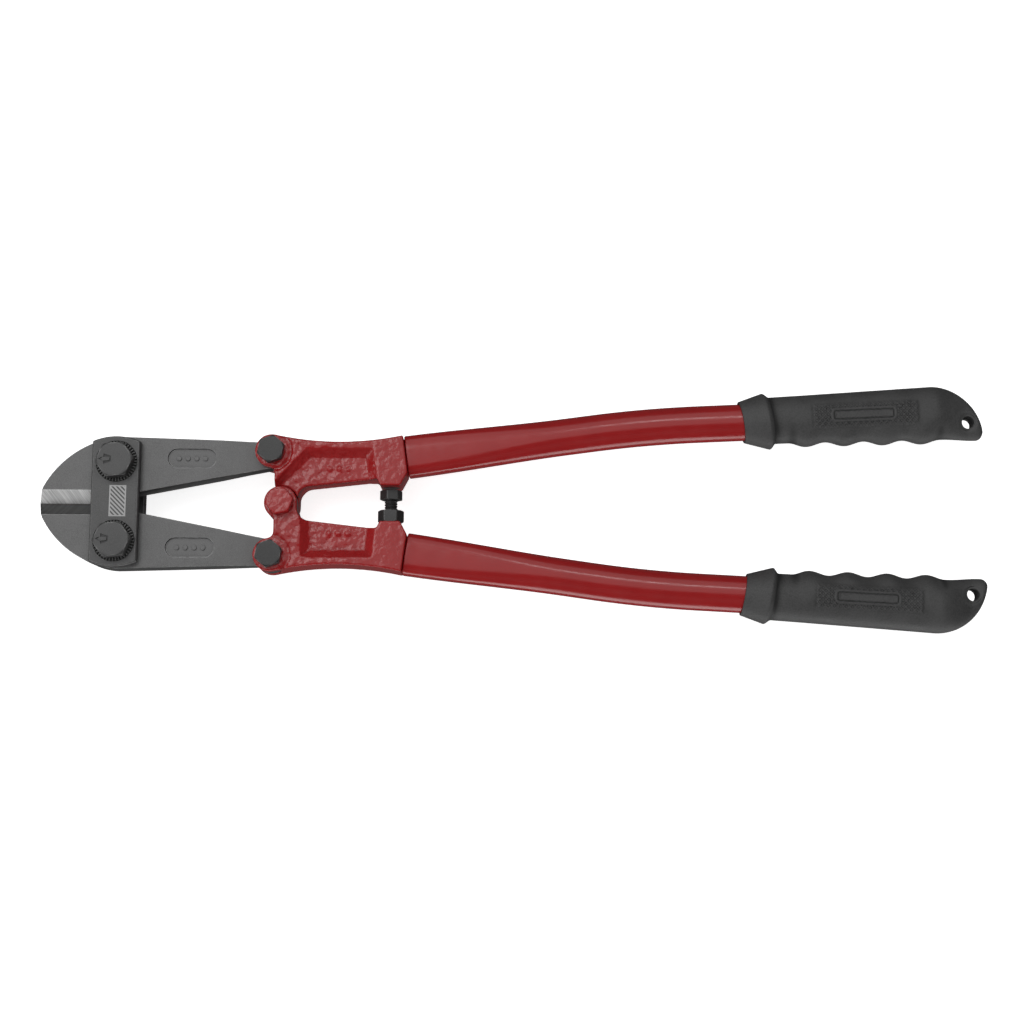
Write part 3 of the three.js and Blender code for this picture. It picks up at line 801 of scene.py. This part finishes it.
def makeJaw(node, name, lower, grindSteel):
    bm = copyOf(node)
    if lower:
        bm.transform(halfTurn)
    planed(bm)
    eased(bm, jaw["edge"], 22, onCuttingLine)
    # painted shade on the jaw's side walls
    paintShadeOnSides(bm, 2)
    for vert in bm.verts:  # the cutting edges meet
        if abs(vert.co.y) < jaw["cutting"]:
            vert.co.y = jaw["meeting"]
    boltX = boltCentre("jaw_bolt_upper")[0]
    for face in bm.faces:
        centre = face.calc_center_median()
        tilted = 0.3 < abs(face.normal.z) < 0.95 and face.normal.y < -0.3
        if tilted and centre.y < jaw["grindTop"] and centre.x < boltX - jaw["grindEnd"]:
            face.material_index = 1
    for side in (1, -1):
        for i in range(jawStuds["count"]):
            along = boltX + jawStuds["fromBolt"] + (i - (jawStuds["count"] - 1) / 2) * jawStuds["pitch"]
            withPart(bm, jawStud((along, jawStuds["y"], side * jawStuds["z"])))
    finished(name, bm, node, [jawSteel, grindSteel, shadedSideSteel], 30, lower)


# the upper blade takes the lit copy of the ground steel, the lower blade the shaded copy
makeJaw("jaw_upper", "forged_jaw_upper", False, litGroundSteel)
makeJaw("jaw_lower", "forged_jaw_lower", True, shadedGroundSteel)
print("jaws forged")

# cover plates, each with two rings of radial teeth under its bolts
plate = {
    "edge": 0.3, "ringOuter": 9.9, "ringInner": 5.6, "ringDepth": 0.7, "ringGap": 0.06, "floor": 0.05,
    "teeth": 40, "toothTop": 0.16, "toothFrom": 7.2, "toothDeep": 7.8, "toothFloor": 0.1,
}
hatch = {"aside": 1.2, "size": (8, 15), "pitch": 2.1, "border": 0.6, "tone": 0.34}


def toothPoint(angle, row):
    radius, height = row
    wave = smoothStep(zigzag(angle * plate["teeth"] / (2 * math.pi)), 0.5, 0.8)
    cut = wave * smoothStep(radius, plate["toothFrom"], plate["toothDeep"])
    if height > 0:
        height -= (height + plate["ringDepth"] - plate["toothFloor"]) * cut
    return aroundAxis(radius, angle, height)


def withHatching(material):  # a plain hatched panel, etched light between the two bolts
    x = boltCentre("jaw_bolt_upper")[0]
    centre = toFrame @ Vector((x + hatch["aside"], 0, 0))
    fromCentre = addNode(
        material, "Mapping", Vector=objectPlace(material), Location=tuple(-centre / mm), Scale=(1 / mm,) * 3,
    )
    apart = addNode(material, "SeparateXYZ", Vector=fromCentre.outputs["Vector"])
    insides = []
    for socket, length in zip(apart.outputs, hatch["size"]):
        insides.append(maths(material, "SUBTRACT", length / 2, maths(material, "ABSOLUTE", socket)))
    within = maths(material, "MINIMUM", *insides)
    slant = maths(material, "ADD", apart.outputs[0], apart.outputs[1])
    zigzags = maths(material, "PINGPONG", slant, hatch["pitch"] / 2)
    stripes = maths(material, "GREATER_THAN", zigzags, hatch["pitch"] / 4)
    border = maths(material, "LESS_THAN", within, hatch["border"])
    drawn = maths(material, "MAXIMUM", stripes, border)
    etched = maths(material, "MULTIPLY", drawn, maths(material, "GREATER_THAN", within, 0))
    shader = shaderOf(material)
    plain = shader.inputs["Base Color"].links[0].from_socket
    linked(material, colourMix(material, etched, plain, grey(hatch["tone"])), shader, "Base Color")
    return material


plateEtched = withHatching(makeBlackened("etched plate steel", 0.075, 0.46, 0.4, 0.34))


def toothedRing():
    inner, outer, high = plate["ringInner"], plate["ringOuter"] - plate["ringGap"], plate["toothTop"]
    under = plate["floor"] - plate["ringDepth"]
    tops = [(radius, high) for radius in (inner, plate["toothFrom"], plate["toothDeep"], outer - 0.5)]
    section = [(inner, under)] + tops + [(outer - 0.15, high - 0.1), (outer, high - 0.35)]
    section += [(outer, under), (inner, under)]
    return wrapped(plate["teeth"] * 8, section, toothPoint)


def makePlate(node, name, rear):
    bm = copyOf(node)
    if rear:
        bm.transform(halfTurn)
    top = max(vert.co.z for vert in bm.verts)
    planed(bm)
    rings = bmesh.new()
    for bolt in ("jaw_bolt_upper", "jaw_bolt_lower"):
        x, y = boltCentre(bolt)
        seat = plainRod(plate["ringOuter"], top - plate["ringDepth"], top + 2, 80)
        seat.transform(Matrix.Translation((x, y, 0)))
        bm = combined(bm, seat, "DIFFERENCE")
        ring = toothedRing()
        ring.transform(Matrix.Translation((x, y, top)))
        withPart(rings, ring)
    planed(bm)
    eased(bm, plate["edge"], 30)
    # painted shade on the sides of the teeth and in the gaps between them
    paintShadeOnSides(rings, 1)
    for face in rings.faces:
        if face.calc_center_median().z < top - 0.2:
            face.material_index = 1
    # painted shade on the plate's side walls
    paintShadeOnSides(bm, 1)
    withPart(bm, rings)
    finished(name, bm, node, [plateSteel if rear else plateEtched, shadedSideSteel], 30, rear)


makePlate("cover_plate_front", "toothed_plate_front", False)
makePlate("cover_plate_rear", "toothed_plate_rear", True)
print("cover plates cut")

# fasteners
jawBolt = {"radius": 5, "across": 16, "head": 6, "nut": 6, "turn": 6, "pitch": 1.5}
jointBolt = {"radius": 4, "across": 11.8, "head": 4.8, "nut": 4.8, "turn": 20, "pitch": 1.25}
pivotBolt = {"radius": 4, "across": 12, "head": 5, "nut": 4.8, "turn": 10, "pitch": 1.25}
stopScrew = {"radius": 3.2, "across": 9.6, "head": 4.6, "turn": 12, "pitch": 1.25}
stopNut = {"radius": 3.2, "across": 11.1, "nut": 5.8, "turn": 0}
arrow = {
    "tip": -7.4, "barb": -4.8, "tail": -1.3, "halfHead": 2.5, "halfShaft": 1.35, "line": 0.7, "depth": 0.6,
}
corners = {"round": 0.16, "chamfer": 0.6, "edge": 0.12, "around": 144}
nutBore = {"gap": 0.12, "flare": 0.55}
thread = {"depth": 0.42, "chamfer": 0.35, "around": 60, "pastNut": 2}
shank = {"relief": 0.05, "pastNut": 1.6, "intoHead": 1}
paintedHead = {"voxel": 0.24, "softening": 9, "skin": 0.09, "lump": 2.2}


def hexPoint(size, height, low, high):
    # a hexagon standing on z = 0, its corners turned off at the ends that are asked for
    # a row is a height and either a share of the hexagon's reach or, where that is negative, a plain radius
    corner = size["across"] / math.sqrt(3)
    trim = corner - size["across"] / 2
    rise = trim * corners["chamfer"]

    def place(angle, row):
        z, share = row
        phase = angle % (math.pi / 3) - math.pi / 6
        hexagon = min(size["across"] / 2 / math.cos(phase), corner - corners["round"])
        cone = corner - trim * max(low * (1 - z / rise), high * (1 - (height - z) / rise), 0)
        reach = -share if share < 0 else min(hexagon, cone) * share
        lean = angle + math.radians(size["turn"])
        return aroundAxis(reach, lean, z)

    return place, rise


def sideRows(height, rise):
    edge = corners["edge"]
    lowRows, highRows = spaced(edge, rise, rise / 9), spaced(height - rise, height - edge, rise / 9)
    return lowRows + spaced(rise, height - rise, 1)[1:] + highRows[1:]


def hexHead(size):
    height = size["head"]
    place, rise = hexPoint(size, height, 0, 1)
    rows = [(0, 0), (0, 0.6), (0, 0.985)] + [(z, 1) for z in sideRows(height, rise)]
    rows += [(height, 0.98), (height, 0.93), (height, 0.6), (height, 0)]
    return wrapped(corners["around"], rows, place)


def hexNut(size, low, high):
    height = size["nut"]
    bore = size["radius"] + nutBore["gap"]
    flare = nutBore["flare"]
    place, rise = hexPoint(size, height, low, high)
    mouth = [(height, -bore - flare), (height - flare, -bore), (flare, -bore), (0, -bore - flare)]
    rows = mouth + [(0, 0.985)] + [(z, 1) for z in sideRows(height, rise)] + [(height, 0.98), mouth[0]]
    return wrapped(corners["around"], rows, place)


def threadPoint(radius, pitch):
    def place(angle, row):
        z, share = row
        groove = pitch * thread["depth"] * (1 - zigzag(z / pitch - angle / (2 * math.pi)))
        return aroundAxis((radius - groove * (share > 0.99)) * share, angle, z)

    return place


def threadedRod(size, low, high):  # chamfered at its low end, with a thread that winds up to z = high
    share = (size["radius"] - size["pitch"] * thread["depth"]) / size["radius"]
    chamfered = low + thread["chamfer"]
    rows = [(low, 0), (low, share * 0.9), (chamfered, share * 0.985)]
    rows += [(z, 1) for z in spaced(chamfered + 0.05, high, size["pitch"] / 10)] + [(high, 0)]
    return wrapped(thread["around"], rows, threadPoint(size["radius"], size["pitch"]))


def withShank(bm, size, low, under):  # a plain shank under the head, and a threaded end through the nut
    nutTop = low + size["nut"]
    radius = size["radius"] - shank["relief"]
    withPart(bm, plainRod(radius, nutTop + shank["pastNut"], under + shank["intoHead"]))
    withPart(bm, threadedRod(size, low, nutTop + thread["pastNut"]))


def arrowOutline(inset):
    tip, barb, tail = arrow["tip"] + 1.5 * inset, arrow["barb"] - inset, arrow["tail"] - inset
    halfHead, halfShaft = arrow["halfHead"] - 2 * inset, arrow["halfShaft"] - inset
    outline = [(tip, 0), (barb, -halfHead), (barb, -halfShaft), (tail, -halfShaft)]
    return outline + [(x, -y) for x, y in reversed(outline[1:])]


def arrowStamp(height):  # the groove of an outlined arrow
    low, high = height - arrow["depth"], height + 1
    middle = prism(arrowOutline(arrow["line"]), low - 1, high + 1)
    return combined(prism(arrowOutline(0), low, high), middle, "DIFFERENCE")


def boltHead(size, marked=False):
    head = markedWorn(hexHead(size))
    if marked:
        top = size["head"]
        head = combined(head, arrowStamp(top), "DIFFERENCE")
        # painted shade in the arrow's groove: its sunk faces take the shaded steel
        for face in head.faces:
            centre = face.calc_center_median()
            sunk = top - arrow["depth"] - 0.1 < centre.z < top - 0.05
            if sunk and centre.xy.length < -arrow["tip"]:
                face.material_index = 1
    return head


def makeBolt(node, name, size, material, marked=False):
    low, high = onBench(node)
    x, y = boltCentre(node)
    under = high.z - size["head"]
    bm = boltHead(size, marked)
    bm.transform(Matrix.Translation((0, 0, under)))
    withShank(bm, size, low.z, under)
    bm.transform(Matrix.Translation((x, y, 0)))
    finished(name, bm, node, [material, shadedSideSteel], 30)


def makeNut(node, name, size):
    low = onBench(node)[0]
    x, y = boltCentre(node)
    bm = markedWorn(hexNut(size, 1, 0))
    bm.transform(Matrix.Translation((x, y, low.z)))
    finished(name, bm, node, [boltSteel], 30)


for side in ("upper", "lower"):
    makeBolt("jaw_bolt_" + side, "arrow_bolt_" + side, jawBolt, jawBoltSteel, True)
    makeNut("jaw_nut_" + side, "rear_nut_" + side, jawBolt)
    makeBolt("joint_bolt_" + side, "ear_bolt_" + side, jointBolt, boltSteel)
    makeNut("joint_nut_" + side, "ear_nut_" + side, jointBolt)
makeNut("pivot_nut", "centre_nut", pivotBolt)


def makePivotBolt():  # painted over with the heads, so its edges are soft and its faces lumpy
    low, high = onBench("pivot_bolt")
    under = high.z - pivotBolt["head"]
    bm = reworked(hexHead(pivotBolt), "REMESH", mode="VOXEL", voxel_size=paintedHead["voxel"])
    smoothed(bm, paintedHead["softening"])
    bm.normal_update()
    for vert in bm.verts:
        vert.co += vert.normal * paintedHead["skin"] * noise.noise(vert.co / paintedHead["lump"])
    bm.transform(Matrix.Translation((0, 0, under)))
    withShank(bm, pivotBolt, low.z, under)
    finished("painted_pivot_bolt", bm, "pivot_bolt", [castEnamel], 50)


def alongStop(y):  # stands a piece on the axis of the stop screw, pointing to +Y
    screw = toBench @ middleOf("stop_screw")
    return Matrix.Translation((screw.x, y, 0)) @ Matrix.Rotation(-math.pi / 2, 4, "X")


def makeStopScrew():
    low, high = onBench("stop_screw")
    reach = high.y - low.y
    bm = boltHead(stopScrew)
    bm.transform(Matrix.Translation((0, 0, reach - stopScrew["head"])))
    withPart(bm, threadedRod(stopScrew, 0, reach - stopScrew["head"] + 0.6))
    bm.transform(alongStop(low.y))
    finished("stop_screw_threaded", bm, "stop_screw", [screwSteel], 30)


def makeStopNut():
    bm = markedWorn(hexNut(stopNut, 1, 1))
    bm.transform(alongStop(onBench("stop_lock_nut")[0].y))
    finished("stop_nut_chamfered", bm, "stop_lock_nut", [screwSteel], 30)


makePivotBolt()
makeStopScrew()
makeStopNut()
print("fasteners turned")
